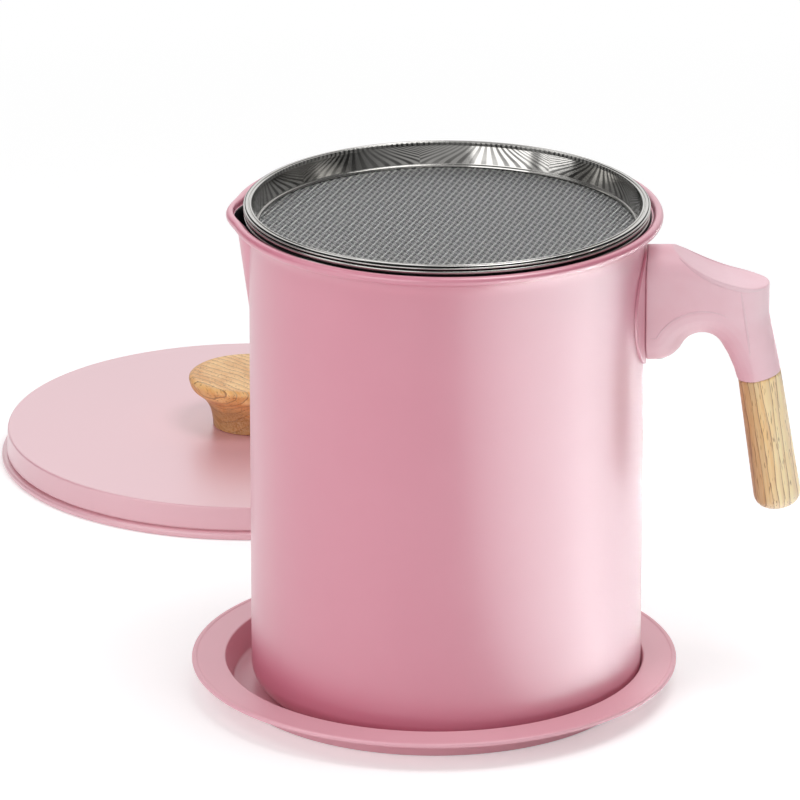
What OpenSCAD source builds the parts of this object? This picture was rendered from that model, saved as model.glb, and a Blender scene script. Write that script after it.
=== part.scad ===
// Grease container: a painted steel pot with a lifting strainer, standing in a drip
// tray, with its lid lying beside it.  Millimetres, +Z up.  The origin is on the table
// below the pot's axis, and the handle points along +X.

/* [Pot] */
// Outside diameter of the pot's straight wall
body_d = 130; // [120:1:140]
// Height of the pot, from its underside to the top of the rolled rim
pot_h = 165.2; // [150:1:185]
// Thickness of the painted sheet
sheet = 0.8; // [0.6:0.1:1]
// Outside radius of the corner between wall and base
corner_r = 8; // [6:0.5:10]
// Radius of the outward curve below the rim
flare_r = 8; // [7:0.5:9]
// Diameter of the rolled rim
rim_bead_d = 3.2; // [2.6:0.2:3.6]
// Depth of the shallow dish pressed up into the base
base_dish = 0.8; // [0:0.2:1.2]

/* [Spout] */
// Height over which the pouring lip fades into the wall
spout_h = 26; // [20:1:40]
// Outside radius of the lip where it meets the flare
spout_r = 20.4; // [19:0.2:20.6]

/* [Tray] */
// Outside diameter of the tray, over its rolled edge
tray_d = 162; // [156:1:170]
// Height of the tray's flange above the table
tray_h = 9.8; // [8:0.2:12]
// Clearance between the pot and the top of the tray's recess, all round
recess_gap = 4.8; // [4.2:0.2:6]
// How far the tray's centre lies from the pot's axis, away from the handle
tray_shift = 4; // [0:0.5:4]

/* [Strainer] */
// Outside diameter of the strainer's rim
strainer_d = 133.8; // [133:0.2:134]
// Height of the strainer's rim above the pot's rim
strainer_rise = 2.6; // [2.4:0.1:3]
// Depth from the strainer's rim down to its mesh
strainer_depth = 8.3; // [7.6:0.1:9]
// Openings of the net across its diameter
net_cells = 17; // [9:2:17]
// Width of the net's bars
net_bar = 1.1; // [0.8:0.1:1.6]

/* [Lid] */
// Outside diameter of the lid, over its rolled edge
lid_d = 180; // [160:1:188]
// Height of the lid without its knob
lid_h = 11.6; // [11:0.1:14]
// Place of the lid beside the pot, along the handle's direction
lid_x = -69; // [-90:1:-40]
// Place of the lid beside the pot, across the handle's direction
lid_y = 222; // [210:1:260]

/* [Knob] */
// Largest diameter of the knob
knob_d = 45; // [36:1:46]
// Diameter of the knob's foot
knob_foot_d = 27.6; // [22:0.2:28]
// Height of the knob
knob_h = 19.5; // [17:0.5:22]

/* [Handle] */
// Width of the handle's arm
arm_w = 20; // [18:0.5:22]
// Height of the arm where it meets the pot
arm_h = 39; // [36:0.5:42]
// Distance from the pot's wall to the back of the arm
arm_reach = 41.2; // [38:0.5:44]
// Distance from the pot's rim down to the top of the arm
arm_drop = 12.5; // [10:0.5:16]
// Radius of the arch under the arm
arch_r = 7.2; // [6.4:0.2:8]
// Height of the arch above the arm's underside
arch_rise = 9.4; // [8:0.2:10]
// Radius of the hollow for the thumb
thumb_r = 47; // [44:1:60]
// Length of the wooden grip along its axis
grip_len = 46.5; // [40:0.5:60]
// Width of the grip, seen from the side
grip_w = 15; // [14:0.2:16]
// Depth of the grip, seen from the back
grip_t = 18.4; // [17:0.2:19]
// Angle by which the grip leans outwards
grip_lean = 8.3; // [4:0.1:12]

/* [Hidden] */
$fn = 96;

body_r = body_d / 2;
body_z = sheet;                        // the pot stands on the tray's floor
rim_z = body_z + pot_h;
bead_r = rim_bead_d / 2;
flare_x = body_r + flare_r;            // centre of the flare's curve
flare_z = rim_z - 8.5;
flare_rise = 6.7;                      // height of the flare, up to the bead
bead_x = body_r + 4.4;                 // centre of the rolled rim's wire-like edge
over = 1;                              // how far a cutter runs past what it cuts

spout_x = -(body_r - 17);              // axis of the pouring lip
spout_r0 = 16.4;                       // its radius where it disappears in the wall
spout_bead_x = spout_r + 2.6;          // radius of its rolled edge

tray_r = tray_d / 2;
recess_r = body_r + recess_gap;        // top of the recess
floor_r = recess_r - 2.4;              // bottom of the recess
tray_bead_r = 0.8;

strainer_r = strainer_d / 2;
strainer_z = rim_z + strainer_rise;
mesh_t = 0.6;
mesh_z = strainer_z - strainer_depth - mesh_t / 2;
mesh_r = strainer_r - 4;
net_pitch = 2 * mesh_r / (net_cells + 0.6);

lid_r = lid_d / 2;
lid_bead_r = 1.3;
lid_foot_r = lid_r - 1.8;              // outside of the wall above the rolled edge
lid_top_r = lid_r - 2.4;               // outside of the wall at the top
lid_arm_r = 1.4;                       // rounding of the top edge
knob_r = knob_d / 2;
knob_foot_r = knob_foot_d / 2;

insert_r = 4;
insert_h = 10;
knob_screw_r = 2;
lid_hole_r = 2.3;
washer_r = 7;
washer_t = 1;
washer_hole_r = 2.2;

arm_r = arm_w / 2;
arm_top = rim_z - arm_drop;
arm_bottom = arm_top - arm_h;
arm_back = body_r + arm_reach;
end_x = arm_back - arm_r;              // axis of the arm's rounded back
foot_x = body_r + 3.8;                 // where the underside turns up into the arch
foot_z = arm_bottom + arm_r;
arch_z = arm_bottom + arch_rise - arch_r;
arch_meet = asin((foot_z - arch_z) / (arch_r + arm_r));
arch_x = foot_x + (arch_r + arm_r) * cos(arch_meet);
crest_z = arch_z + arch_r + arm_r;     // where the flat sides begin above the arch
fall_r = 45;                           // radius of the arm's inner side below the arch
fall_turn = 33;                        // slope at which the arch runs into it
fall_x = arch_x - (fall_r - arch_r) * cos(fall_turn);
fall_z = arch_z - (fall_r - arch_r) * sin(fall_turn);
thumb_low = arm_top - 12.3;            // lowest line of the thumb hollow
// Line of the arm's underside from the pot outwards: x, z and the direction in which the arm lies
arm_line = concat(
    [[0, arm_bottom, 90]],
    [for (i = [0:6]) let (a = -90 + i * (90 - arch_meet) / 6)
        [foot_x + arm_r * cos(a), foot_z + arm_r * sin(a), a + 180]],
    [for (i = [1:12]) let (a = 180 - arch_meet - i * (180 - arch_meet - fall_turn) / 12)
        [arch_x + arch_r * cos(a), arch_z + arch_r * sin(a), a]],
    [for (i = [1:5]) let (a = fall_turn * (1 - i / 5))
        [fall_x + fall_r * cos(a), fall_z + fall_r * sin(a), a]],
    [[fall_x + fall_r, fall_z - 40, 0]]
);
// Half-round section of the underside: depth into the arm and place across it
edge_line = concat([for (turn = [-84:14:84]) [arm_r * (1 - cos(turn)), arm_r * sin(turn)]],
                   [[arm_r - 0.4, arm_r * sin(84)], [arm_r - 0.4, -arm_r * sin(84)]]);

saddle_t = 0.8;
saddle_gap = 0.05;
saddle_half = 22;                      // half the saddle's width
saddle_corner = 19;
tongue_x = body_r + 17;                // outer end of the tongue
tongue_w = 10;
tongue_z0 = arm_bottom + 15.5;
tongue_z1 = arm_top - 11;
tongue_t = 1.6;
tongue_gap = 0.3;

screw_x = body_r + 5;
screw_r = 1.5;
screw_hole_r = 1.65;
screw_head_r = 2.8;
screw_head_h = 2.2;
screw_sink = 2.4;                      // depth of the head's pocket

joint_x = body_r + 38.2;               // middle of the joint between arm and grip
joint_z = arm_top - 44.3;
joint_tilt = 14;                       // slope of the joint
stud_r = 2.5;
stud_hole_r = 2.55;
stud_up = 13;                          // length of the stud in the arm
stud_down = 30;                        // length of the stud in the grip

paint_pink = [0.87, 0.62, 0.69];
arm_pink = [0.88, 0.66, 0.72];
wood_tan = [0.83, 0.64, 0.42];
bright_steel = [0.78, 0.78, 0.76];
mesh_grey = [0.55, 0.55, 0.56];
brass_yellow = [0.8, 0.68, 0.36];

// ---- helpers -------------------------------------------------------------------

// A disc of the profile plane, used for rolled edges
module bead(x, z, r) {
    translate([x, z]) circle(r = r, $fn = 48);
}

// A rectangle of the profile plane from one corner to the other
module box2(x0, z0, x1, z1) {
    translate([x0, z0]) square([x1 - x0, z1 - z0]);
}

// Half section of a round vessel: straight wall, rounded base corner and flared mouth.
// r is the wall's radius, z0 its underside, c the corner and f the flare's radius.
module vessel_half(r, z0, c, f, top) {
    box2(0, z0, r - c, z0 + c + over);
    box2(0, z0 + c, r, flare_z + over);
    bead(r - c, z0 + c, c);
    difference() {
        box2(0, flare_z, flare_x - 3.5, flare_z + flare_rise);
        bead(flare_x, flare_z, f);
    }
    if (top > 0) box2(0, flare_z + flare_rise - 0.1, bead_x - bead_r + 0.2, rim_z + top);
}

// Half section of the pouring lip about its own axis; t is taken off its radius
module lip_half(t, top) {
    low = flare_z - spout_h;
    polygon([[0, low], [spout_r0 - t, low], [spout_r - t, flare_z], [0, flare_z]]);
    difference() {
        box2(0, flare_z, spout_r + 2.2 - t, flare_z + flare_rise);
        bead(spout_r + flare_r, flare_z, flare_r + t);
    }
    if (top > 0) box2(0, flare_z + flare_rise - 0.1, spout_bead_x - bead_r + 0.4, rim_z + top);
}

// Places something at the joint between arm and grip, with +Z up the grip's axis
module at_joint() {
    translate([joint_x, 0, joint_z]) rotate([0, -grip_lean, 0]) children();
}

// Half space above the sloping joint between arm and grip
module above_joint() {
    translate([joint_x, 0, joint_z]) rotate([0, -joint_tilt, 0])
        translate([-60, -30, 0]) cube([120, 60, 120]);
}

// ---- tray ----------------------------------------------------------------------

module tray() {
    color(paint_pink)
    translate([-tray_shift, 0, 0]) rotate_extrude() {
        // floor and recess wall
        polygon([[0, 0], [floor_r - 0.6, 0], [floor_r + 0.7, 0.9], [recess_r + 0.9, tray_h - sheet],
                 [recess_r + 1.4, tray_h], [recess_r, tray_h - 0.7], [floor_r, sheet + 0.4],
                 [floor_r - 0.8, sheet], [0, sheet]]);
        // flange with its edge rolled down
        box2(recess_r + 0.8, tray_h - sheet, tray_r - tray_bead_r, tray_h);
        bead(tray_r - tray_bead_r, tray_h - tray_bead_r, tray_bead_r);
    }
}

// ---- pot -----------------------------------------------------------------------

module pot_body() {
    color(paint_pink) difference() {
        union() {
            rotate_extrude() {
                vessel_half(body_r, body_z, corner_r, flare_r, 0);
                bead(bead_x, rim_z - bead_r, bead_r);
            }
            translate([spout_x, 0, 0]) rotate_extrude() {
                lip_half(0, 0);
                bead(spout_bead_x, rim_z - bead_r, bead_r);
            }
        }
        rotate_extrude()
            vessel_half(body_r - sheet, body_z + sheet + base_dish, corner_r - sheet,
                        flare_r + sheet, over);
        translate([spout_x, 0, 0]) rotate_extrude() lip_half(sheet, over);
        translate([0, 0, body_z - over])
            cylinder(r1 = body_r - corner_r - 9, r2 = body_r - corner_r - 11, h = over + base_dish);
    }
}

// ---- handle --------------------------------------------------------------------

// Thin oval saddle spot-welded to the pot, with a box-shaped tongue that carries the arm
module handle_bracket() {
    color(paint_pink) difference() {
        union() {
            intersection() {
                translate([0, 0, arm_bottom]) cylinder(r = body_r + saddle_gap + saddle_t, h = arm_h);
                translate([body_r - 10, 0, 0]) rotate([90, 0, 90]) linear_extrude(20) union() {
                    box2(-saddle_half, arm_bottom + saddle_corner, saddle_half, arm_top - saddle_corner);
                    box2(-saddle_half + saddle_corner, arm_bottom, saddle_half - saddle_corner, arm_top);
                    for (side = [-1, 1], end = [0, 1])
                        bead(side * (saddle_half - saddle_corner),
                             end * (arm_h - 2 * saddle_corner) + arm_bottom + saddle_corner,
                             saddle_corner);
                }
            }
            translate([body_r, -tongue_w / 2, tongue_z0])
                cube([tongue_x - body_r, tongue_w, tongue_z1 - tongue_z0]);
        }
        cylinder(r = body_r + saddle_gap, h = rim_z);
        translate([body_r + saddle_t + 1, -tongue_w / 2 + tongue_t, tongue_z0 + tongue_t])
            cube([tongue_x, tongue_w - 2 * tongue_t, tongue_z1 - tongue_z0 - 2 * tongue_t]);
        translate([screw_x, 0, tongue_z0 - over]) cylinder(r = screw_r, h = tongue_t + 2 * over);
    }
}

// Skin of the rounded underside, a row of points for each place of the line
module arm_edge() {
    n = len(edge_line);
    rows = len(arm_line);
    polyhedron(
        points = [for (p = arm_line, q = edge_line)
                      [p[0] + q[0] * cos(p[2]), q[1], p[1] + q[0] * sin(p[2])]],
        faces = concat([[for (j = [0:n - 1]) j]],
                       [[for (j = [0:n - 1]) rows * n - 1 - j]],
                       [for (i = [0:rows - 2], j = [0:n - 1])
                            [i * n + j, (i + 1) * n + j, (i + 1) * n + (j + 1) % n, i * n + (j + 1) % n]])
    );
}

// Lower part of the arm: foot, arch and the stretch that turns down to the grip
module arm_under() {
    deep = arm_r - 1.1;
    intersection() {
        union() {
            translate([0, -arm_r, arm_bottom - 1]) cube([end_x, arm_w, crest_z + 2 - arm_bottom]);
            hull() {
                translate([end_x, 0, crest_z - 5]) cylinder(r = arm_r, h = 1.5, $fn = 64);
                at_joint() for (side = [-1, 1])
                    translate([0, side * (grip_t - grip_w) / 2, -2])
                        cylinder(r = grip_w / 2 - 0.3, h = 2, $fn = 48);
            }
        }
        union() {
            arm_edge();
            rotate([90, 0, 0]) linear_extrude(arm_w + 2, center = true) polygon(concat(
                [for (p = arm_line) [p[0] + deep * cos(p[2]), p[1] + deep * sin(p[2])]],
                [[arm_back + 5, fall_z - 40], [arm_back + 5, crest_z + 5], [-5, crest_z + 5]]));
        }
    }
}

// Upper bar of the arm, flat on its sides and half-round on top
module arm_bar() {
    rotate([90, 0, 90]) linear_extrude(end_x) union() {
        box2(-arm_r, crest_z, arm_r, arm_top - arm_r);
        translate([0, arm_top - arm_r]) circle(r = arm_r);
    }
    translate([end_x, 0, crest_z - 5]) cylinder(r = arm_r, h = arm_top - crest_z + 5, $fn = 64);
}

module handle_arm() {
    color(arm_pink) difference() {
        union() {
            arm_bar();
            intersection() {
                arm_under();
                above_joint();
            }
        }
        cylinder(r = body_r + 2 * saddle_gap + saddle_t, h = rim_z + over);
        translate([arm_back - 0.2, arm_w, thumb_low + thumb_r])
            rotate([90, 0, 0]) cylinder(r = thumb_r, h = 2 * arm_w, $fn = 180);
        // pocket for the tongue
        translate([0, -tongue_w / 2 - tongue_gap, tongue_z0 - tongue_gap])
            cube([tongue_x + tongue_gap, tongue_w + 2 * tongue_gap, tongue_z1 - tongue_z0 + 2 * tongue_gap]);
        // screw hole and the pocket for its head
        translate([screw_x, 0, arm_bottom - over]) cylinder(r = screw_hole_r, h = arm_h / 2);
        translate([screw_x, 0, arm_bottom - over]) cylinder(r = screw_head_r + 0.15, h = screw_sink + over);
        at_joint() translate([0, 0, -over]) cylinder(r = stud_hole_r, h = stud_up + over + 0.5);
    }
}

module handle_screw() {
    head_z = arm_bottom + screw_sink;
    color(bright_steel) translate([screw_x, 0, 0]) difference() {
        union() {
            translate([0, 0, head_z - screw_head_h])
                cylinder(r1 = screw_head_r - 0.6, r2 = screw_head_r, h = 0.8);
            translate([0, 0, head_z - screw_head_h + 0.8]) cylinder(r = screw_head_r, h = screw_head_h - 0.8);
            translate([0, 0, head_z - 0.1]) cylinder(r = screw_r - 0.05, h = tongue_z0 + 4 - head_z);
        }
        for (turn = [0, 90]) translate([0, 0, head_z - screw_head_h - over]) rotate([0, 0, turn])
            translate([-1.6, -0.35, 0]) cube([3.2, 0.7, over + 1.2]);
    }
}

module handle_grip() {
    mid = grip_w / 2;
    side_shift = (grip_t - grip_w) / 2;
    end_r = 5;
    color(wood_tan) difference() {
        hull() at_joint() for (side = [-1, 1]) {
            translate([0, side * side_shift, -1]) cylinder(r = mid - 0.4, h = 6, $fn = 48);
            for (turn = [0:15:90])
                translate([0.4, side * side_shift, end_r * (1 - sin(turn)) - grip_len])
                    cylinder(r = mid + 0.3 - end_r * (1 - cos(turn)), h = 0.1, $fn = 48);
        }
        above_joint();
        at_joint() translate([0, 0, -stud_down - 0.5]) cylinder(r = stud_hole_r, h = stud_down + 6);
    }
}

module grip_stud() {
    color(bright_steel) at_joint() {
        translate([0, 0, -stud_down + 1]) cylinder(r = stud_r, h = stud_down + stud_up - 2);
        translate([0, 0, -stud_down]) cylinder(r1 = stud_r - 0.8, r2 = stud_r, h = 1);
        translate([0, 0, stud_up - 1]) cylinder(r1 = stud_r, r2 = stud_r - 0.8, h = 1);
    }
}

// ---- strainer ------------------------------------------------------------------

module strainer_rim() {
    wall_low = mesh_z + mesh_t / 2;
    color(bright_steel) rotate_extrude() {
        // tapered wall
        polygon([[mesh_r - 0.2, wall_low], [mesh_r + 0.5, wall_low], [strainer_r - 1.8, strainer_z - 1],
                 [strainer_r - 2.4, strainer_z - 1]]);
        // fold that grips the edge of the mesh
        bead(mesh_r - 0.1, wall_low + 0.5, 0.5);
        // rolled rim with two ridges under it
        bead(strainer_r - 1.3, strainer_z - 1.1, 1.1);
        box2(strainer_r - 2.1, strainer_z - 3.8, strainer_r - 0.7, strainer_z - 1);
        bead(strainer_r - 0.75, strainer_z - 2.5, 0.6);
        bead(strainer_r - 0.7, strainer_z - 3.7, 0.6);
    }
}

// Flat net that stands for the fine woven mesh
module strainer_mesh() {
    half = (net_cells - 1) / 2;
    hole = net_pitch - net_bar;
    color(mesh_grey) translate([0, 0, mesh_z - mesh_t / 2]) linear_extrude(mesh_t) difference() {
        circle(r = mesh_r + 0.4);
        intersection() {
            circle(r = mesh_r - 1);
            union() for (i = [-half:half], j = [-half:half])
                if (norm([i, j]) < half + 0.6)
                    translate([i * net_pitch - hole / 2, j * net_pitch - hole / 2]) square(hole);
        }
    }
}

module mesh_ring() {
    top = mesh_z - mesh_t / 2;
    color(bright_steel) rotate_extrude() {
        box2(mesh_r - 1.2, top - 0.9, mesh_r + 0.4, top);
        bead(mesh_r - 0.4, top - 0.9, 0.6);
    }
}

// ---- lid -----------------------------------------------------------------------

module at_lid(z) {
    translate([lid_x, lid_y, z]) children();
}

module lid_shell() {
    top_in = lid_h - sheet;
    color(paint_pink) at_lid(0) difference() {
        rotate_extrude() difference() {
            union() {
                polygon([[0, 1.4], [lid_r - lid_bead_r - 0.6, 1.4], [lid_foot_r - 0.3, 3],
                         [lid_foot_r, 3.6], [lid_top_r, lid_h - lid_arm_r],
                         [lid_top_r - lid_arm_r, lid_h], [0, lid_h]]);
                bead(lid_top_r - lid_arm_r, lid_h - lid_arm_r, lid_arm_r);
                bead(lid_r - lid_bead_r, lid_bead_r, lid_bead_r);
            }
            polygon([[0, -over], [lid_r - 2 * lid_bead_r + 0.1, -over], [lid_r - 2 * lid_bead_r + 0.1, 1.2],
                     [lid_foot_r - sheet, 3.6], [lid_top_r - sheet, top_in - lid_arm_r],
                     [lid_top_r - sheet - lid_arm_r, top_in], [0, top_in]]);
        }
        cylinder(r = lid_hole_r, h = lid_h + over);
    }
}

// Turned knob: a waist above the foot, then a wide rounded head
module lid_knob() {
    r = knob_r;
    f = knob_foot_r;
    h = knob_h;
    color(wood_tan) at_lid(lid_h) difference() {
        rotate_extrude() polygon([
            [0, 0], [f, 0], [f + 0.1, h * 0.1], [f + 0.35, h * 0.22], [f + 1.1, h * 0.36],
            [f + 2.2, h * 0.47], [f + 3.6, h * 0.56], [r - 3.1, h * 0.65], [r - 1.3, h * 0.74],
            [r - 0.35, h * 0.82], [r, h * 0.885], [r - 0.1, h * 0.93], [r - 0.6, h * 0.965],
            [r - 2, h * 0.985], [r * 0.6, h * 0.997], [0, h]]);
        translate([0, 0, -over]) cylinder(r = insert_r, h = insert_h + over);
    }
}

module knob_insert() {
    color(brass_yellow) at_lid(lid_h) difference() {
        union() {
            for (z = [0, 3.6, 7.2]) translate([0, 0, z]) cylinder(r = insert_r - 0.05, h = 2.4);
            cylinder(r = insert_r - 0.6, h = insert_h - 0.4);
        }
        translate([0, 0, -over]) cylinder(r = knob_screw_r + 0.05, h = insert_h + 2 * over);
    }
}

module knob_screw() {
    head_z = lid_h - sheet - washer_t;
    color(bright_steel) at_lid(0) difference() {
        union() {
            translate([0, 0, head_z - 1]) cylinder(r = 3.9, h = 1);
            translate([0, 0, head_z - 2.2]) cylinder(r1 = 2.6, r2 = 3.9, h = 1.2);
            translate([0, 0, head_z - 0.1]) cylinder(r = knob_screw_r, h = sheet + washer_t + 8);
        }
        for (turn = [0, 90]) translate([0, 0, head_z - 2.2 - over]) rotate([0, 0, turn])
            translate([-1.9, -0.4, 0]) cube([3.8, 0.8, over + 1.3]);
    }
}

module knob_washer() {
    color(mesh_grey) at_lid(lid_h - sheet - washer_t) difference() {
        cylinder(r = washer_r, h = washer_t);
        translate([0, 0, -over]) cylinder(r = washer_hole_r, h = washer_t + 2 * over);
    }
}

tray();
pot_body();
handle_bracket();
handle_arm();
handle_screw();
handle_grip();
grip_stud();
strainer_rim();
strainer_mesh();
mesh_ring();
lid_shell();
lid_knob();
knob_insert();
knob_screw();
knob_washer();
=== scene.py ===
"""Looks of the grease container: pot, strainer, tray, lid and handle, in metres."""
import math

import bpy
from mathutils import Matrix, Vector
from mathutils.bvhtree import BVHTree


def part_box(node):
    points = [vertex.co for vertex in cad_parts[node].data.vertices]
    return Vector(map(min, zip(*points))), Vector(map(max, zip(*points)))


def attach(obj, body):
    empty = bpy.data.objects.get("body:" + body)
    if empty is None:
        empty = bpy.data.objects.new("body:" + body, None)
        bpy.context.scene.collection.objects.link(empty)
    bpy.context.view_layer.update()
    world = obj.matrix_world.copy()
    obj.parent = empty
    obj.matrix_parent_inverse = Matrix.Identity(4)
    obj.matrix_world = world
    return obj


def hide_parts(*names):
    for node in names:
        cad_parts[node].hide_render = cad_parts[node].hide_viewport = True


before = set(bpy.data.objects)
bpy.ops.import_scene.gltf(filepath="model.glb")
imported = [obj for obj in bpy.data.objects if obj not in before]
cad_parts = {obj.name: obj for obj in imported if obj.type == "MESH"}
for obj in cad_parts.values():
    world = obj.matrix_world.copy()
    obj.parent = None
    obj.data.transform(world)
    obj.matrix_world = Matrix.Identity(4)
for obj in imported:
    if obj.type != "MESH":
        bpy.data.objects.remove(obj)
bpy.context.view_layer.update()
MM = 0.001

# ---- sizes, from the CAD frame ---------------------------------------------------

pot_lo, pot_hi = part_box("pot_body")
tray_lo, tray_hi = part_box("tray")
lid_lo, lid_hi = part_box("lid_shell")
rim_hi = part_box("strainer_rim")[1]
mesh_lo, mesh_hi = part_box("strainer_mesh")
knob_lo, knob_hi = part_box("lid_knob")
grip_lo, grip_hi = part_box("handle_grip")
arm_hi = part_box("handle_arm")[1]

SHEET = 0.8 * MM                       # steel of pot, tray and lid
POT_Z = pot_lo.z
RIM_Z = pot_hi.z
RIM_R = pot_hi.y
BODY_R = RIM_R - 6.0 * MM              # outside of the straight wall below the flared rim
TRAY_AT = ((tray_lo.x + tray_hi.x) / 2, 0.0)
TRAY_R = (tray_hi.y - tray_lo.y) / 2
TRAY_Z = tray_hi.z
LID_AT = ((lid_lo.x + lid_hi.x) / 2, (lid_lo.y + lid_hi.y) / 2)
LID_R = (lid_hi.x - lid_lo.x) / 2
LID_Z = lid_hi.z
KNOB_R = (knob_hi.x - knob_lo.x) / 2
KNOB_H = knob_hi.z - knob_lo.z
STRAINER_R = rim_hi.x
STRAINER_Z = rim_hi.z
MESH_Z = (mesh_lo.z + mesh_hi.z) / 2
MESH_R = mesh_hi.x

# ---- camera ----------------------------------------------------------------------

VIEW_DOWN = math.radians(19.64)        # how far the camera looks down
VIEW_DIST = 2.645                      # from the camera to the point it aims at
VIEW_AIM = Vector((-15.4 * MM, 0.0, 99.6 * MM))
VIEW_LENS = 360.0                      # mm, on a sensor of 36 mm


def make_camera():
    data = bpy.data.cameras.new("camera")
    data.lens = VIEW_LENS
    data.sensor_width = 36.0
    data.clip_start = 0.1
    data.clip_end = 30.0
    camera = bpy.data.objects.new("camera", data)
    bpy.context.scene.collection.objects.link(camera)
    look = Vector((0.0, math.cos(VIEW_DOWN), -math.sin(VIEW_DOWN)))
    camera.location = VIEW_AIM - look * VIEW_DIST
    camera.rotation_mode = "QUATERNION"
    camera.rotation_quaternion = look.to_track_quat("-Z", "Y")
    bpy.context.scene.camera = camera


# ---- mesh helpers ----------------------------------------------------------------

ARC_STEP = math.radians(11)            # turn between two points of a rounded corner
HOLD = 0.15 * MM                       # straight stretch kept beside each rounded corner


def rounded(corners):
    """Open outline through corners (r, z, rounding), in millimetres; returns metres."""
    pts = [Vector((c[0], c[1])) * MM for c in corners]
    rad = [(c[2] if len(c) > 2 else 0.0) * MM for c in corners]
    out = [pts[0]]
    for i in range(1, len(pts) - 1):
        a, b, c = pts[i - 1], pts[i], pts[i + 1]
        u, v = (a - b).normalized(), (c - b).normalized()
        turn = math.pi - u.angle(v)
        if rad[i] == 0.0 or turn < 1e-3:
            out.append(b)
            continue
        cut = rad[i] * math.tan(turn / 2)
        cut = min(cut, 0.48 * (a - b).length, 0.48 * (c - b).length)
        r = cut / math.tan(turn / 2)
        centre = b + (u + v).normalized() * (r / math.cos(turn / 2))
        start, end = b + u * cut, b + v * cut
        if (start - out[-1]).length > 3 * HOLD:
            out.append(start + u * HOLD)
        n = max(2, math.ceil(turn / ARC_STEP))
        first = start - centre
        side = 1.0 if first.x * (end - centre).y - first.y * (end - centre).x > 0 else -1.0
        for k in range(n + 1):
            t = side * turn * k / n
            out.append(centre + Vector((first.x * math.cos(t) - first.y * math.sin(t),
                                        first.x * math.sin(t) + first.y * math.cos(t))))
        if (c - end).length > 3 * HOLD:
            out.append(end + v * HOLD)
    out.append(pts[-1])
    return [(p.x, p.y) for p in out]


def arc(cx, cz, r, start, end, n):
    """Points on an arc, angles in degrees, in millimetres."""
    steps = [math.radians(start + (end - start) * k / n) for k in range(n + 1)]
    return [(cx + r * math.cos(t), cz + r * math.sin(t)) for t in steps]


def add_mesh(name, verts, faces, material, body, replaced=()):
    """Makes a smooth mesh object, and tells the frame what it rides on and stands for."""
    mesh = bpy.data.meshes.new(name)
    mesh.from_pydata(verts, [], faces)
    mesh.update()
    mesh.shade_smooth()
    piece = bpy.data.objects.new(name, mesh)
    bpy.context.scene.collection.objects.link(piece)
    mesh.materials.append(material)
    dress(piece, body, replaced)
    return piece


def dress(piece, body, replaced=()):
    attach(piece, body)
    if replaced:
        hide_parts(*replaced)


def lathe_mesh(outline, angles, place, closed):
    """Vertices and faces of an outline turned about the vertical; place(angle, r, z)."""
    verts, rows = [], []
    for r, z in outline:
        if r < 1e-7:
            rows.append([len(verts)])
            verts.append(place(0.0, 0.0, z))
        else:
            rows.append(list(range(len(verts), len(verts) + len(angles))))
            verts += [place(t, r, z) for t in angles]
    faces = []
    pairs = list(zip(rows, rows[1:] + rows[:1] if closed else rows[1:]))
    n = len(angles)
    for low, high in pairs:
        for k in range(n):
            j = (k + 1) % n
            if len(low) == 1 and len(high) == 1:
                continue
            if len(low) == 1:
                faces.append((low[0], high[j], high[k]))
            elif len(high) == 1:
                faces.append((low[k], low[j], high[0]))
            else:
                faces.append((low[k], low[j], high[j], high[k]))
    return verts, faces


def lathe(name, outline, at, z0, material, body, replaced=(), closed=False, n=288):
    """A turned piece on a vertical axis through at, its outline measured from height z0."""
    def place(t, r, z):
        return (at[0] + r * math.cos(t), at[1] + r * math.sin(t), z0 + z)
    angles = [2 * math.pi * k / n for k in range(n)]
    verts, faces = lathe_mesh(outline, angles, place, closed)
    return add_mesh(name, verts, faces, material, body, replaced)


# ---- node helpers ----------------------------------------------------------------

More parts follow.
